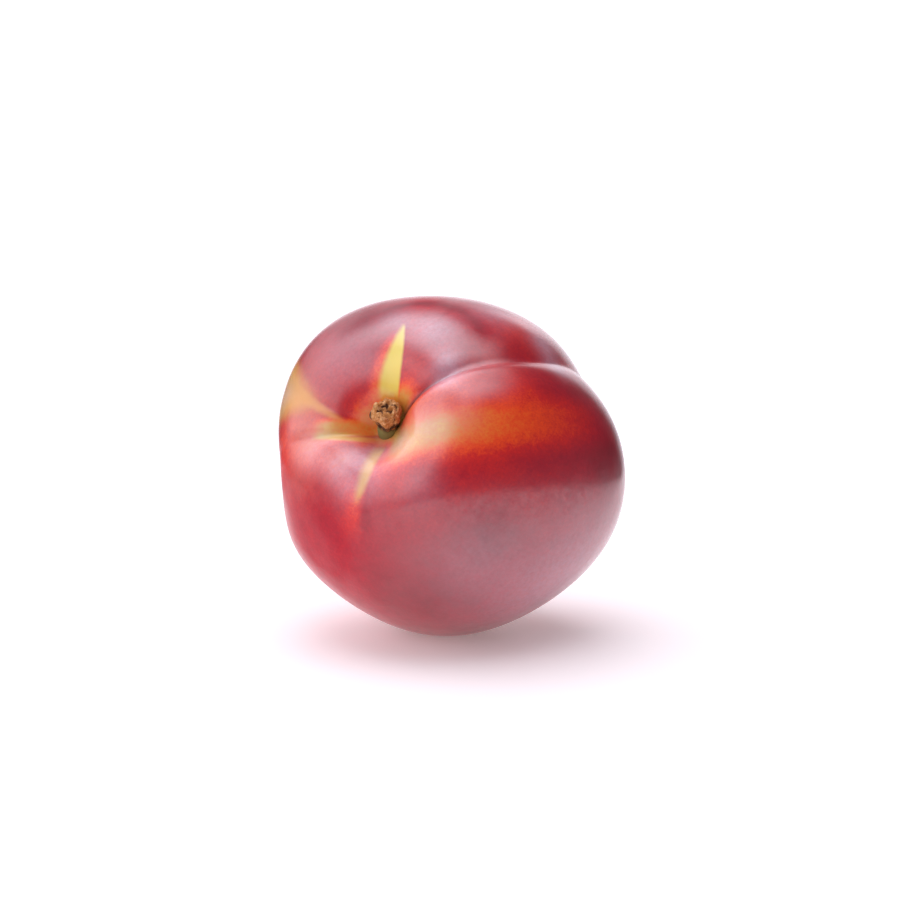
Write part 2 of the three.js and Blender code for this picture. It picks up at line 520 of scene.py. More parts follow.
@dataclass(frozen=True)
class SkinPoint:
    """The shaded point of the skin: its place, its direction from the middle and its angles."""

    place: Wire
    way: Wire
    around: Tuple[Wire, Wire]
    polar: Wire

    @classmethod
    def read(cls, graph: Graph, place: Wire) -> "SkinPoint":
        """Works out the angles of a place given in the fruit's own frame."""
        way = graph.vector("NORMALIZE", place)
        parts = graph.add("ShaderNodeSeparateXYZ", None, {0: way}).socket.node
        x, y, z = (Wire(graph, parts.outputs[axis]) for axis in "XYZ")
        from_axis = (x * x + y * y).most(ON_AXIS) ** 0.5
        polar = graph.math("ARCTAN2", from_axis, z) * math.degrees(1.0)
        return cls(place, way, (x / from_axis, y / from_axis), polar)

    def chart(self) -> Tuple[Wire, Wire]:
        """The point on the map that unrolls the skin round the stem."""
        return self.polar * self.around[0], self.polar * self.around[1]


@dataclass(frozen=True)
class SkinFinish:
    """The smooth waxy skin, from the yellow ground through orange and crimson to maroon.

    Ripeness goes from 0, the yellow ground, to 1, the darkest maroon, and the tones are its colours. Blotches
    and streaks change it, and bare streaks are laid over it; one of them is painted shade in the crease. Dust,
    with painted shade round the stem, and a pale wax bloom that is partly painted sheen and highlights cover
    both. The coat is rubbed away in some patches and scuffed in others.
    """

    name: str = "waxy_fruit_skin"
    tones: Stops = (
        (0.00, (0.91, 0.73, 0.09, 1.0)),
        (0.15, (0.87, 0.36, 0.06, 1.0)),
        (0.30, (0.99, 0.19, 0.022, 1.0)),
        (0.45, (0.97, 0.072, 0.010, 1.0)),
        (0.60, (0.72, 0.018, 0.016, 1.0)),
        (0.78, (0.45, 0.006, 0.022, 1.0)),
        (1.00, (0.17, 0.004, 0.013, 1.0)),
    )
    base_ripeness: float = 0.78
    blotches: Tuple[Blotch, ...] = (
        Blotch("coral left", 27, 146, 13, -0.27),
        Blotch("coral left rim", 43, 144, 9, -0.12),
        Blotch("rosy by the pit", 15, 77, 8, -0.12),
        Blotch("rosy foot of the near cheek", 23, -87, 10, -0.13),
        Blotch("pink under the left lip", 15, -164, 6, -0.30),
        Blotch("pink at the end of the left lip", 21, 160, 7, -0.20),
        Blotch("rosy right of the wedge", 26, 14, 9, -0.13),
        Blotch("rosy under the near lip", 48, -12, 10, -0.05),
        Blotch("dark right end", 98, -33, 15, 0.14),
        Blotch("red top of the near cheek", 57, -20, 9, -0.15),
        Blotch("orange under the cream", 35, -52, 7, -0.10),
        Blotch("bright round the orange", 50, -50, 12, -0.08),
        Blotch("dark under the orange", 60, -76, 11, 0.10),
        Blotch("rosy between the streaks", 14, -104, 6, -0.22),
        Blotch("dark upper left lobe", 46, 70, 14, 0.13),
        Blotch("pink left of the lower left streak", 22, -137, 5, -0.16),
        Blotch("dark foot", 66, -112, 20, 0.11),
        Blotch("rosy over the top", 72, 11, 10, -0.17),
        Blotch("orange far cheek", 120, 150, 24, -0.34),
        Blotch("orange round the tip", 165, 60, 18, -0.30),
    )
    streaks: Tuple[Streak, ...] = (
        Streak(
            "dark band over the top", (49, 63), (56, 13), 2.2, 2.2, 1, 3, 3,
            (0.95, 0.88), strength=0.95, bow=11, start_fade=5, end_fade=5,
        ),
        Streak(
            "glow under the lower left streak", (23, -128), (38, -137), 1.7, 4, 1, 2.4, 3.2,
            (0.28, 0.66), strength=0.66, end_fade=6,
        ),
        Streak(
            "near cheek", (6, -75), (90, -26), 8, 10, 1, 7, 7,
            (0.06, 0.68), bow=-4.5, start_fade=4, end_fade=18,
        ),
        Streak(
            "cream by the pit", (13, -80), (33, -36), 5.5, 4, 1, 4, 4,
            (0.12, 0.12), strength=0.88, start_fade=4,
        ),
        Streak(
            "salmon by the near lip", (14, -16), (42, -13), 5, 5, 1, 4, 6,
            (0.36, 0.50), strength=0.8, start_fade=4, end_fade=9,
        ),
        Streak("orange in the valley", (6, 140), (21, 142), 4.5, 2.5, 2, 2.5, 2, (0.30, 0.03), strength=0.95),
        Streak("glow by the wedge", (12, 54), (38, 46), 3.6, 0.8, 1.5, 2.2, 3, (0.24, 0.46), strength=0.78),
        Streak("gold right of the wedge", (9, 13), (23, 12), 5, 3.5, 1, 3, 3, (0.05, 0.18), strength=0.95),
    )
    bare_streaks: Tuple[Streak, ...] = (
        Streak(
            "yellow edge patch", (24, 121), (52, 121), 1.8, 13, 1, 4.4, 4,
            (0.16, 0.09), strength=0.88, start_fade=6, end_fade=6,
        ),
        Streak("fold line", (14, 127), (34, 118.5), 0.9, 1.8, 1, 1.4, 1.1, (0.18, 0.14), strength=0.8),
        Streak("left lip", (7, 163.5), (22.5, 148.5), 1.6, 1, 2, 0.7, 1.1, (0.12, 0.05), end_fade=2.5),
        Streak(
            "shade above the left lip", (2, 148), (12, 153), 1, 0.3, 1, 0.8, 0.9,
            (0.68, 0.60), strength=0.75, start_fade=1, end_fade=2,
        ),
        Streak(
            "lower left streak", (7, -124), (26, -129.5), 2.4, 0.7, 2.2, 1.3, 1.7,
            (0.08, 0.11), strength=0.92, bow=1.6, end_fade=2.5,
        ),
        Streak(
            "yellow wedge", (15, 36), (41.5, 44.7), 4.4, 0.2, 1.7, 1.4, 0.7,
            (0.03, 0), bow=-1.6, end_fade=1,
        ),
        # Painted shade: a thin dark line along the crease, where its shadow falls
        Streak(
            "painted shade in the crease", (16, 1), (45, -1.6), 0.55, 0.3, 1, 0.5, 0.5,
            (0.98, 0.95), strength=0.85, bow=0.3, end_fade=5,
        ),
    )
    clouds: Grain = Grain(12.0 * MM, 0.16, 4.0, 0.6)
    patches: Grain = Grain(1.6 * MM, 0.18, 3.0, 0.7)
    specks: Grain = Grain(0.5 * MM, 0.26, 2.0, 0.7)
    rays: Grain = Grain(0.085, 1.0, 3.0, 0.65)
    ray_squash: float = 0.012
    rays_grow: Pair = (8.0, 24.0)
    rays_in_ripeness: float = 0.10
    rays_in_edges: float = 0.5
    ragged_edges: Grain = Grain(1.5 * MM, 0.45, 3.0, 0.6)
    pit_middle: Pair = (4.0, 62.0)
    pit_edge: Pair = (13.5, 6.5)
    pit_unevenness: Grain = Grain(5.0 * MM, 6.0)
    pit_ripeness: float = 0.24
    roughness: float = 0.38
    uneven_gloss: Grain = Grain(5.0 * MM, 0.10, 3.0)
    ior: float = 1.3
    coat: float = 0.9
    coat_ior: float = 1.85
    coat_roughness: float = 0.19
    coat_grains: Tuple[Grain, ...] = (Grain(1.2 * MM, 0.40, 3.0, 0.7), Grain(7.0 * MM, 0.35))
    rubbed: Tuple[Blotch, ...] = (
        Blotch("lower left", 45, -158, 26, -1.10),
        Blotch("right end", 97, -32, 14, -0.85),
        Blotch("by the pit", 16, 77, 9, -0.40),
        Blotch("top left", 48, 66, 12, -0.45),
        Blotch("left top rim", 43, 93, 8, -0.30),
        Blotch("dark band", 56.5, 46, 7, -1.00),
        Blotch("dark band in the middle", 56.5, 29, 7, -1.00),
        Blotch("end of the dark band", 58, 15, 7, -1.00),
        Blotch("near lip", 48, -9, 6, -0.25),
        Blotch("top of the near cheek", 54, -20, 7, -0.50),
        Blotch("left outline", 42, 160, 9, -0.60),
        Blotch("yellow edge", 36, 118, 10, -0.35),
        Blotch("dull bottom of the pit", 0, 0, 10, -0.90),
        Blotch("dull right wall of the pit", 18, 10, 9, -0.70),
    )
    scuffed: Tuple[Blotch, ...] = (
        Blotch("foot of the near cheek", 47, -75, 9, 1),
        Blotch("front", 57, -65, 8, 1),
        Blotch("front, further right", 67, -58, 8, 1),
        Blotch("right", 77, -51.5, 8, 1),
        Blotch("right end", 86, -46, 7, 1),
    )
    scuffs: Grain = Grain(1.1 * MM, 1.0, 4.0, 0.7)
    scuff_contrast: float = 0.25
    scuff_depth: float = 0.45
    # Dust darkens the skin in patches; the patches round and right of the stem are painted shade in the stem
    # cavity
    dust_and_shade_colour: Colour = (0.26, 0.12, 0.02, 1.0)
    dust_and_cavity_shade: Tuple[Blotch, ...] = (
        Blotch("round the stem", 2, 150, 6, 0.45),
        Blotch("right of the stem", 14, 4, 4.5, 0.45),
        Blotch("near cheek", 27, -28, 10, 0.17),
        Blotch("yellow edge", 37, 118, 12, 0.21),
        Blotch("left", 28, 164, 12, 0.20),
        Blotch("left lip", 15, -165, 6, 0.14),
        Blotch("left wall", 26, 136, 8, 0.20),
        Blotch("near lip", 21, -12, 7, 0.13),
    )
    # Pale wax bloom laid into the colour: partly the skin's real bloom, partly painted sheen, highlights and
    # reflections of the lights and the floor
    bloom_and_sheen_colour: Colour = (0.80, 0.72, 0.86, 1.0)
    bloom_and_painted_sheen: Tuple[Blotch, ...] = (
        Blotch("lower right", 104, -83, 28, 0.35),
        Blotch("lower front", 62, -90, 16, 0.10),
        Blotch("near cheek", 24, -38, 9, 0.22),
        Blotch("near lip by the pit", 15, -65, 6, 0.24),
        Blotch("near lip", 33, -6, 5.5, 0.32),
        Blotch("upper lobe", 44, 28, 8, 0.30),
        Blotch("lobe above the wedge", 43, 50, 7, 0.18),
        Blotch("top", 69, 22, 8, 0.22),
        Blotch("notch", 80, -5, 5, 0.30),
        Blotch("rim near the notch", 80, 6, 6, 0.34),
        Blotch("above the crease", 38, 7, 6, 0.36),
        Blotch("root of the lower left streak", 8.5, -140, 4.5, 0.20),
        Blotch("foot of the near lip", 10.5, -97, 4.5, 0.22),
        Blotch("near wall of the pit", 12, -52, 5, 0.13),
        Blotch("under the near cheek", 31, -80, 7, 0.13),
        Blotch("edge of the orange", 37, -32, 6, 0.08),
        Blotch("upper left lobe", 29, 75, 13, 0.12),
        Blotch("left", 27, 145, 9, 0.10),
        Blotch("left lip", 15, -160, 6, 0.38),
        Blotch("end of the left lip", 21, 162, 7, 0.26),
        Blotch("lower left streak", 17, -114, 8, 0.20),
        Blotch("left of the lower left streak", 22, -138, 6, 0.14),
        Blotch("left outline", 46, 122, 6, 0.26),
    )
    bloom_and_sheen_grain: Grain = Grain(0.9 * MM, 0.9, 4.0, 0.65)
    scar_colour: Colour = (0.16, 0.07, 0.03, 1.0)
    scar_cover: float = 0.7
    scar_edge: Pair = (5.0, 0.8)
    relief: Tuple[Grain, ...] = (Grain(9.0 * MM, 10.0, 1.0), Grain(3.5 * MM, 1.3), Grain(0.5 * MM, 0.10))
    relief_strength: float = 0.25
    relief_depth: float = 0.25 * MM
    scatter: float = 0.08
    scatter_reach: Tuple[float, float, float] = (1.0, 0.35, 0.2)
    scatter_depth: float = 1.5 * MM

    def build(self, where: FruitFrame) -> bpy.types.Material:
        """Makes the material.

        Args:
            where: The fruit's own frame, in which the markings are laid out.

        Returns:
            The finished material.
        """
        material, graph = new_material(self.name)
        point = SkinPoint.read(graph, where.place(graph))
        sockets = {
            "Base Color": self._colour(graph, point),
            "Roughness": self.roughness + self.uneven_gloss.read(point.place),
            "IOR": self.ior,
            "Normal": self._relief(point.place),
            "Coat Weight": self._coat(point),
            "Coat Roughness": self.coat_roughness,
            "Coat IOR": self.coat_ior,
            "Subsurface Weight": self.scatter,
            "Subsurface Radius": self.scatter_reach,
            "Subsurface Scale": self.scatter_depth,
        }
        graph.surface(sockets)
        return material

    def _colour(self, graph: Graph, point: SkinPoint) -> Wire:
        """The skin's colour: its ripeness, the bare streaks, dusting with painted shade round the stem, the
        tip's scar and the wax bloom with painted sheen.
        """
        around = {0: point.around[0], 1: point.around[1], 2: point.polar * self.ray_squash}
        rayed = self.rays.read(graph.add("ShaderNodeCombineXYZ", None, around))
        rayed = rayed * point.polar.ramp(*self.rays_grow)
        ragged = self.ragged_edges.read(point.place) + self.rays_in_edges * rayed
        colour = graph.colour_ramp(self._ripeness(point, rayed, ragged), self.tones)
        for streak in self.bare_streaks:
            cover, tone = streak.cover(point.chart(), ragged)
            colour = graph.mix(cover, colour, graph.colour_ramp(tone, self.tones))
        # Dust, and painted shade in the cavity round the stem
        dust_and_cavity_shade = self._blotched(point.way, 0.0, self.dust_and_cavity_shade).least(1.0)
        colour = graph.mix(dust_and_cavity_shade, colour, self.dust_and_shade_colour)
        colour = self._tip_scar(point.way, colour)
        # The pale wax bloom, partly painted sheen and highlights
        bloom_and_painted_sheen = self._blotched(point.way, 0.0, self.bloom_and_painted_sheen)
        bloom_and_painted_sheen = bloom_and_painted_sheen * (1.0 + self.bloom_and_sheen_grain.read(point.place))
        return graph.mix(bloom_and_painted_sheen.most(0.0).least(1.0), colour, self.bloom_and_sheen_colour)

    def _ripeness(self, point: SkinPoint, rayed: Wire, ragged: Wire) -> Wire:
        """How ripe the skin looks, from 0, the yellow ground, to 1, the darkest maroon.

        Args:
            point: The shaded point.
            rayed: Noise in long rays from the stem.
            ragged: Noise that makes the streaks' edges uneven.

        Returns:
            The ripeness.
        """
        ripeness = self._blotched(point.way, self.base_ripeness, self.blotches)
        ripeness = ripeness + self.clouds.read(point.place) + self.rays_in_ripeness * rayed
        middle = on_map(self.pit_middle)
        from_pit = tuple(place - centre for place, centre in zip(point.chart(), middle))
        from_pit = (from_pit[0] * from_pit[0] + from_pit[1] * from_pit[1]) ** 0.5
        pit = from_pit + self.pit_unevenness.read(point.place)
        ripeness = ripeness.towards(self.pit_ripeness, pit.ramp(*self.pit_edge))
        for streak in self.streaks:
            cover, tone = streak.cover(point.chart(), ragged)
            ripeness = ripeness.towards(tone, cover)
        fine = self.specks.read(point.place) + self.patches.read(point.place)
        unsettled = (4.0 * ripeness * (1.0 - ripeness)).most(0.0)
        return (ripeness + fine * unsettled).most(0.0).least(1.0)

    @staticmethod
    def _blotched(way: Wire, ground: float, blotches: Sequence[Blotch]) -> Wire:
        """An even ground with soft patches.

        Args:
            way: The unit vector from the fruit's centre to the shaded point.
            ground: The value away from the patches.
            blotches: The patches.

        Returns:
            The value at the shaded point.
        """
        value: Number = ground
        for blotch in blotches:
            sharpness = 2.0 / math.radians(blotch.spread) ** 2
            away = way.graph.dot(way, direction(blotch.polar, blotch.azimuth)) - 1.0
            value = value + blotch.change * (away * sharpness).exp()
        return value

    def _coat(self, point: SkinPoint) -> Wire:
        """How thick the glossy coat is, which the leaves and the hand have rubbed away in places."""
        coat = self._blotched(point.way, self.coat, self.rubbed)
        for grain in self.coat_grains:
            coat = coat + grain.read(point.place)
        scuffs = self.scuffs.read(point.place).ramp(-self.scuff_contrast, self.scuff_contrast)
        scuffed = self._blotched(point.way, 0.0, self.scuffed).least(1.0)
        coat = coat - self.scuff_depth * scuffs * scuffed
        return coat.most(0.0).least(1.0)

    def _tip_scar(self, way: Wire, colour: Wire) -> Wire:
        """Lays the small brown scar over the tip."""
        edge = (math.cos(math.radians(away)) for away in self.scar_edge)
        near = way.graph.dot(way, Vector((0.0, 0.0, -1.0))).ramp(*edge)
        return way.graph.mix(self.scar_cover * near, colour, self.scar_colour)

    def _relief(self, place: Wire) -> Wire:
        """The slight unevenness of the waxy surface, as a normal."""
        height: Number = 0.0
        for grain in self.relief:
            height = height + grain.read(place)
        sockets = {"Height": height, "Strength": self.relief_strength, "Distance": self.relief_depth}
        return place.graph.add("ShaderNodeBump", None, sockets)


# ---- The fruit and its stem stub ----


def finish_piece(piece: bpy.types.Object, node: Node) -> None:
    """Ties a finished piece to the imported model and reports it.

    Args:
        piece: The piece, in the row frame.
        node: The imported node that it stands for.
    """
    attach(piece, Body.ROOT.value)
    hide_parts(node.value)
    triangles = sum(len(face.vertices) - 2 for face in piece.data.polygons)
    LOG.info("%s: %d triangles", piece.name, triangles)


def spin_round(mesh: bmesh.types.BMesh, steps: int) -> None:
    """Spins a bmesh's outline all the way round the Z axis and closes it at the axis.

    Args:
        mesh: The bmesh, which holds only the outline, from axis to axis.
        steps: How many sides the turned form has.
    """
    outline = mesh.verts[:] + mesh.edges[:]
    about = {"cent": (0.0, 0.0, 0.0), "axis": (0.0, 0.0, 1.0), "angle": math.tau}
    bmesh.ops.spin(mesh, geom=outline, steps=steps, use_merge=True, **about)
    on_axis = [vertex for vertex in mesh.verts if math.hypot(vertex.co.x, vertex.co.y) < WELD]
    bmesh.ops.remove_doubles(mesh, verts=on_axis, dist=WELD)


def to_object(mesh: bmesh.types.BMesh, name: str, material: bpy.types.Material) -> bpy.types.Object:
    """Turns a bmesh into a smooth-shaded object at the origin.

    Args:
        mesh: The bmesh, in the row frame; it is freed.
        name: The object's name.
        material: Its material.

    Returns:
        The linked object.
    """
    bmesh.ops.recalc_face_normals(mesh, faces=mesh.faces)
    for face in mesh.faces:
        face.smooth = True
    data = bpy.data.meshes.new(name)
    mesh.to_mesh(data)
    mesh.free()
    data.materials.append(material)
    piece = bpy.data.objects.new(name, data)
    bpy.context.scene.collection.objects.link(piece)
    return piece


@dataclass
class FruitBody:
    """The whole fruit: one grown piece with its cavity, suture, folds and tip."""

    where: FruitFrame
    form: FruitForm = FruitForm()
    finish: SkinFinish = SkinFinish()
    meridians: int = 380
    rings: int = 256
    crowding: float = 0.35
    ring_power: float = 1.35
    settle: float = 0.06 * MM

    def build(self) -> None:
        """Builds and dresses the fruit, and closes it at both ends of its axis."""
        mesh = bmesh.new()
        tube = {"cap_ends": False, "segments": self.meridians, "radius1": 1.0, "radius2": 1.0, "depth": 2.0}
        bmesh.ops.create_cone(mesh, **tube)
        upright = [edge for edge in mesh.edges if edge.verts[0].co.z * edge.verts[1].co.z < 0.0]
        bmesh.ops.subdivide_edges(mesh, edges=upright, cuts=self.rings - 1, use_grid_fill=True)
        poles = [[vertex for vertex in mesh.verts if vertex.co.z * end > TUBE_END] for end in (1.0, -1.0)]
        self._shape(mesh)
        for ring in poles:
            middle = sum((vertex.co for vertex in ring), Vector()) / len(ring)
            bmesh.ops.pointmerge(mesh, verts=ring, merge_co=middle)
        fruit = to_object(mesh, "fruit_skin", self.finish.build(self.where))
        finish_piece(fruit, Node.FRUIT)

    def _shape(self, mesh: bmesh.types.BMesh) -> None:
        """Wraps an open tube into the fruit: its top end closes at the stem and its foot at the tip.

        Args:
            mesh: The tube, of radius 1, from z = 1 down to z = -1.
        """
        tube = np.array([vertex.co for vertex in mesh.verts])
        even_azimuth = np.arctan2(tube[:, 1], tube[:, 0])
        azimuth = np.degrees(even_azimuth - self.crowding * np.sin(even_azimuth))
        polar = 180.0 * np.clip(0.5 - 0.5 * tube[:, 2], 0.0, 1.0) ** self.ring_power
        ways, radius = self.form.radius_at(polar, azimuth)
        lying = np.array(self.where.matrix())
        points = (ways * radius[:, None]) @ lying[:3, :3].T + lying[:3, 3]
        height = points[:, 2]
        points[:, 2] = 0.5 * (height + np.sqrt(height**2 + self.settle**2))
        for vertex, point in zip(mesh.verts, points):
            vertex.co = point


@dataclass(frozen=True)
class WoodFinish:
    """Torn stem wood: orange-brown at the head, dark bark down the side, green at the foot, and painted shade
    in its crevices.
    """

    name: str = "torn_stem_wood"
    bark: Colour = (0.055, 0.026, 0.012, 1.0)
    # Painted shade for the stub's crevices
    crevice: Colour = (0.09, 0.032, 0.012, 1.0)
    wood: Colour = (0.50, 0.20, 0.055, 1.0)
    pale: Colour = (0.78, 0.44, 0.20, 1.0)
    green: Colour = (0.23, 0.22, 0.07, 1.0)
    fibres: Grain = Grain(0.75 * MM, 1.0, 3.0, 0.7)
    pale_fibres: Pair = (-0.05, 0.16)
    bare_fibres: Pair = (0.0, 0.25)
    green_end: Pair = (0.42, 0.28)
    green_unevenness: float = 0.15
    torn_start: Pair = (0.60, 0.72)
    torn_unevenness: float = 0.12
    crevice_shade_edge: Pair = (-0.15, -0.55)
    crevice_shade_unevenness: float = 0.6
    flake_edge: Pair = (0.15, 0.5)
    bump_strength: float = 0.8
    bump_depth: float = 0.15 * MM
    roughness: float = 0.82
    specular: float = 0.3

    def build(self, length: float) -> bpy.types.Material:
        """Makes the material from the stub's height and relief attributes.

        Args:
            length: The stub's length, in metres.

        Returns:
            The finished material.
        """
        material, graph = new_material(self.name)
        height, relief, flake = (
            graph.add("ShaderNodeAttribute", {"attribute_name": name}, output="Fac")
            for name in ("height", "relief", "flake")
        )
        height = height / length
        fibres = self.fibres.read(graph.add("ShaderNodeTexCoord", output="Object"))
        torn = graph.mix(fibres.ramp(*self.pale_fibres), self.wood, self.pale)
        side = graph.mix(fibres.ramp(*self.bare_fibres), self.bark, self.wood)
        low = graph.mix((height + self.green_unevenness * fibres).ramp(*self.green_end), side, self.green)
        colour = graph.mix((height + self.torn_unevenness * fibres).ramp(*self.torn_start), low, torn)
        # Painted shade: darker where the relief sinks into a crevice
        crevice = (relief + self.crevice_shade_unevenness * fibres).ramp(*self.crevice_shade_edge)
        colour = graph.mix(crevice, colour, self.crevice)
        colour = graph.mix(flake.ramp(*self.flake_edge), colour, self.bark)
        bump = {"Height": fibres, "Strength": self.bump_strength, "Distance": self.bump_depth}
        sockets = {"Base Color": colour, "Roughness": self.roughness, "Specular IOR Level": self.specular}
        graph.surface({**sockets, "Normal": graph.add("ShaderNodeBump", None, bump)})
        return material


@dataclass(frozen=True)
class Wave:
    """A wave round the stub: its height, its crests, its phase, and its twist in radians a metre."""

    height: float
    crests: float
    phase: float
    twist: float = 0.0

    def at(self, turn: float, up: float) -> float:
        """How high the wave is at a turn round the stub and a height up it."""
        return self.height * math.sin(self.crests * turn + self.phase + self.twist * up)


@dataclass
class StemStub:
    """The torn stub of the stem, in a frame of its own whose +Z is its axis and whose origin is its foot."""

    where: FruitFrame
    finish: WoodFinish = WoodFinish()
    length: float = 7.2 * MM
    foot_radius: float = 2.0 * MM
    waist_radius: float = 1.85 * MM
    head_radius: float = 2.6 * MM
    lean: float = 36.0
    lean_azimuth: float = 7.5
    bark_start: float = 1.4 * MM
    bark_growth: float = 2.8 * MM
    fibre_size: float = 0.8 * MM
    fibre_stretch: float = 0.35
    lump_size: float = 0.9 * MM
    lump_height: float = 0.5 * MM
    lumps_start: float = 1.2 * MM
    lumps_growth: float = 0.8 * MM
    flake_turn: float = 148.0
    flake_spread: float = 20.0
    flake_middle: float = 5.2 * MM
    flake_length: float = 0.9 * MM
    flake_push: float = 0.30
    splinter_turn: float = 118.0
    splinter_spread: float = 14.0
    splinter_from_axis: float = 0.8
    splinter_width: float = 0.3
    ring: Tuple[Wave, ...] = (Wave(0.07, 6.0, 0.0, 500.0), Wave(0.05, 3.0, 1.7))
    tear: Tuple[Wave, ...] = (Wave(0.32, 2.0, 0.6), Wave(0.26, 5.0, 2.1))
    knob_push: float = 0.13
    knob_length: float = 3.0 * MM
    knob_crowding: float = 2.2
    ridge_push: float = 0.06
    ridge_relief: float = 0.6
    foot: Tuple[float, float, float] = (0.6 * MM, 0.55 * MM, 21.3 * MM)
    sides: int = 96

    def matrix(self) -> Matrix:
        """Carries points from the stub's frame to the row frame."""
        leaning = Matrix.Rotation(math.radians(self.lean_azimuth), 4, "Z")
        leaning = leaning @ Matrix.Rotation(math.radians(self.lean), 4, "Y")
        return self.where.matrix() @ Matrix.Translation(self.foot) @ leaning

    def profile(self) -> List[Vector]:
        """The stub's outline in the XZ plane, from the middle of its foot to the middle of its head."""
        corners = [
            (0.0, 0.0),
            (self.foot_radius, 0.0),
            (self.foot_radius, self.bark_start),
            (self.waist_radius, 2.6 * MM),
            (self.waist_radius * 1.06, 3.4 * MM),
            (self.head_radius * 0.94, 4.2 * MM),
            (self.head_radius, 5.0 * MM),
            (self.head_radius * 0.98, self.length - 0.8 * MM),
            (self.head_radius * 0.82, self.length - 0.1 * MM),
            (self.head_radius * 0.6, self.length),
            (self.head_radius * 0.32, self.length - 0.35 * MM),
            (0.0, self.length - 0.5 * MM),
        ]
        return [Vector((radius, 0.0, height)) for radius, height in corners]

    def build(self) -> None:
        """Builds and dresses the stub."""
        mesh = bmesh.new()
        outline = [mesh.verts.new(point) for point in self.profile()]
        edges = [mesh.edges.new(pair) for pair in zip(outline, outline[1:])]
        bmesh.ops.subdivide_edges(mesh, edges=edges, cuts=5)
        spin_round(mesh, self.sides)
        height = mesh.verts.layers.float.new("height")
        relief = mesh.verts.layers.float.new("relief")
        flake = mesh.verts.layers.float.new("flake")
        for vertex in mesh.verts:
            vertex[height] = vertex.co.z
            vertex[relief], vertex[flake] = self._weather(vertex)
        bmesh.ops.transform(mesh, matrix=self.matrix(), verts=mesh.verts)
        stub = to_object(mesh, "stem_stub", self.finish.build(self.length))
        finish_piece(stub, Node.STEM)

    def _weather(self, vertex: bmesh.types.BMVert) -> Tuple[float, float]:
        """Gives a point of the stub its ridges, its torn head, the splinter and the flake of bark.

        Args:
            vertex: The point; it is moved.

        Returns:
            How far it stands out, from about -1 in a crevice to 1 on a knob, and how much it is the flake.
        """
        point = vertex.co.copy()
        turn = math.atan2(point.y, point.x)
        share = min(1.0, max(0.0, (point.z - self.bark_start) / self.bark_growth))
        grown = share * share * (3.0 - 2.0 * share)
        lumps = noise.noise(point / self.lump_size) + 0.5 * noise.noise(point / (0.5 * self.lump_size))
        ridges = noise.noise(Vector((point.x, point.y, point.z * self.fibre_stretch)) / self.fibre_size)
        from_axis = math.hypot(point.x, point.y) / self.head_radius
        along = hump((point.z - self.flake_middle) / self.flake_length)
        flake = self._near(turn, self.flake_turn, self.flake_spread) * along * from_axis**3
        splinter = self._near(turn, self.splinter_turn, self.splinter_spread)
        splinter = splinter * hump((from_axis - self.splinter_from_axis) / self.splinter_width)
        ring = sum(wave.at(turn, point.z) for wave in self.ring)
        around = Vector((math.cos(turn), math.sin(turn), point.z / self.knob_length))
        knobs = self.knob_push * noise.noise(around * self.knob_crowding)
        outwards = 1.0 + grown * (ring + knobs + self.ridge_push * ridges) + self.flake_push * flake
        tear = sum(wave.at(turn, point.z) for wave in self.tear) + splinter
        from_top = point.z - self.length + self.lumps_start
        on_top = grown * min(1.0, max(0.0, from_top / self.lumps_growth))
        vertex.co.x = point.x * outwards
        vertex.co.y = point.y * outwards
        vertex.co.z = point.z + grown * tear * from_axis * MM + on_top * self.lump_height * lumps
        return grown * (self.ridge_relief * ridges + on_top * lumps), flake

    @staticmethod
    def _near(turn: float, middle: float, spread: float) -> float:
        """A hump of the given spread, in degrees, round a turn about the stub's axis."""
        away = math.degrees(math.remainder(turn - math.radians(middle), 2.0 * math.pi))
        return float(hump(away / spread))


# ---- The studio ----


@dataclass(frozen=True)
class SoftBox:
    """A large soft light far away: where it stands and how large it looks, in degrees, and how bright it is.

    Heading 0 is over the camera's shoulder and 90 is on the camera's right.
    """

    name: str
    heading: float
    height: float
    half_width: float
    half_height: float
    edge: float
    strength: float
    grazing: float = 0.05

    def axes(self) -> Tuple[Vector, Vector, Vector]:
        """The unit vectors towards the light, to its right and to its top, in the row frame."""
        turned = Euler((0.0, 0.0, math.radians(self.heading))).to_matrix()
        turned = turned @ Euler((math.radians(-self.height), 0.0, 0.0)).to_matrix()
        return -turned.col[1], turned.col[0].copy(), turned.col[2].copy()

    def shine(self, way: Wire) -> Wire:
        """How bright the sky is because of this light.

        Args:
            way: The direction looked at.

        Returns:
            Its strength where it is seen, and 0 elsewhere.
        """
        ahead, right, top = (way.graph.dot(way, axis) for axis in self.axes())
        reach = ahead.most(AHEAD)
        sideways = way.graph.math("ARCTAN2", right, reach).size() * math.degrees(1.0)
        upwards = way.graph.math("ARCTAN2", top, reach).size() * math.degrees(1.0)
        within = sideways.ramp(self.half_width + self.edge, self.half_width - self.edge)
        within = within * upwards.ramp(self.half_height + self.edge, self.half_height - self.edge)
        return self.strength * within * ahead.ramp(0.0, self.grazing)


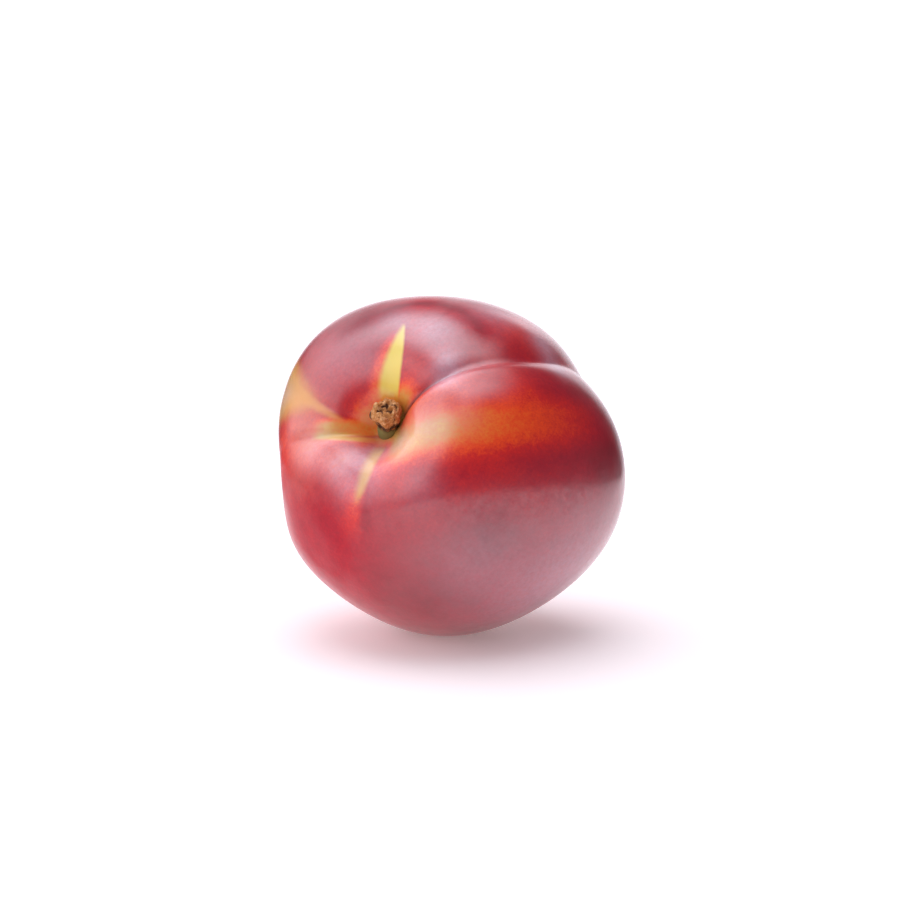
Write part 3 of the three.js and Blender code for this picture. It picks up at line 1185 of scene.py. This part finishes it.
@dataclass
class Studio:
    """The pale floor, the soft lights and the camera."""

    where: FruitFrame
    lights: Tuple[SoftBox, ...] = (
        SoftBox("overhead", -152.0, 84.0, 25.0, 33.0, 12.0, 2.75),
        SoftBox("left", -80.0, 26.0, 50.0, 32.0, 14.0, 1.45),
        SoftBox("back", -172.0, 27.0, 32.0, 13.0, 8.0, 0.75),
        SoftBox("behind", 180.0, 2.0, 16.0, 12.0, 5.0, 1.2),
        SoftBox("behind on the right", 158.0, 8.0, 8.0, 22.0, 5.0, 0.85),
    )
    ambient: float = 0.07
    floor_shade: Colour = (0.96, 0.92, 0.92, 1.0)
    floor_glow: float = 0.20
    light_tint: Colour = (0.98, 0.955, 1.035, 1.0)
    white_seen: float = 1.2
    floor_radius: float = 0.23
    floor_drop: float = 0.02 * MM
    floor_sides: int = 96
    floor_roughness: float = 0.6
    floor_specular: float = 0.2
    camera_height: float = 9.0
    camera_distance: float = 0.36
    focal_share: float = 1837.0 / 900.0
    sensor: float = 36.0
    aim_right: float = 0.58 * MM
    aim_up: float = 2.67 * MM
    nearest_seen: float = 10.0 * MM
    exposure: float = 0.0

    def build(self) -> None:
        """Builds the floor, the lights and the camera."""
        self._floor()
        self._sky()
        self._camera()

    def _camera(self) -> None:
        """Places the camera."""
        height = math.radians(self.camera_height)
        back = Vector((0.0, -math.cos(height), math.sin(height)))
        right = Vector((1.0, 0.0, 0.0))
        up = back.cross(right)
        target = Vector(self.where.centre) + self.aim_right * right + self.aim_up * up
        lens = bpy.data.cameras.new("camera")
        lens.sensor_fit = "HORIZONTAL"
        lens.sensor_width = self.sensor
        lens.lens = self.focal_share * self.sensor
        lens.clip_start = self.nearest_seen
        camera = bpy.data.objects.new("camera", lens)
        turned = Matrix((right, up, back)).transposed().to_4x4()
        camera.matrix_world = Matrix.Translation(target + self.camera_distance * back) @ turned
        bpy.context.scene.collection.objects.link(camera)
        bpy.context.scene.camera = camera

    def _floor(self) -> None:
        """Lays the pale floor just under the fruit."""
        material, graph = new_material("pale_floor")
        sockets = {"Base Color": self.floor_shade, "Roughness": self.floor_roughness}
        sockets.update({"Emission Color": self.floor_shade, "Emission Strength": self.floor_glow})
        graph.surface({**sockets, "Specular IOR Level": self.floor_specular})
        mesh = bmesh.new()
        bmesh.ops.create_circle(mesh, cap_ends=True, segments=self.floor_sides, radius=self.floor_radius)
        bmesh.ops.translate(mesh, verts=mesh.verts, vec=(0.0, 0.0, -self.floor_drop))
        to_object(mesh, "floor", material)

    def _sky(self) -> None:
        """Lights the scene from a soft sky, which the camera itself sees as plain white."""
        world = bpy.data.worlds.new("studio")
        world.use_nodes = True
        bpy.context.scene.world = world
        graph = Graph(world.node_tree)
        way = graph.add("ShaderNodeTexCoord", output="Generated")
        glow: Number = self.ambient
        for light in self.lights:
            glow = glow + light.shine(way)
        seen = graph.add("ShaderNodeLightPath", output="Is Camera Ray")
        strength = glow.towards(self.white_seen, seen)
        background = graph.add("ShaderNodeBackground", None, {"Color": self.light_tint, "Strength": strength})
        graph.add("ShaderNodeOutputWorld", None, {"Surface": background})
        scene = bpy.context.scene
        scene.view_settings.view_transform = "Standard"
        scene.view_settings.look = "None"
        scene.view_settings.exposure = self.exposure


def main() -> None:
    """Builds the fruit, the stub and the studio in order."""
    logging.basicConfig(level=logging.INFO, format="%(name)s: %(message)s")
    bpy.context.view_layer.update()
    where = FruitFrame()
    FruitBody(where).build()
    StemStub(where).build()
    Studio(where).build()


if __name__ == "__main__":
    main()
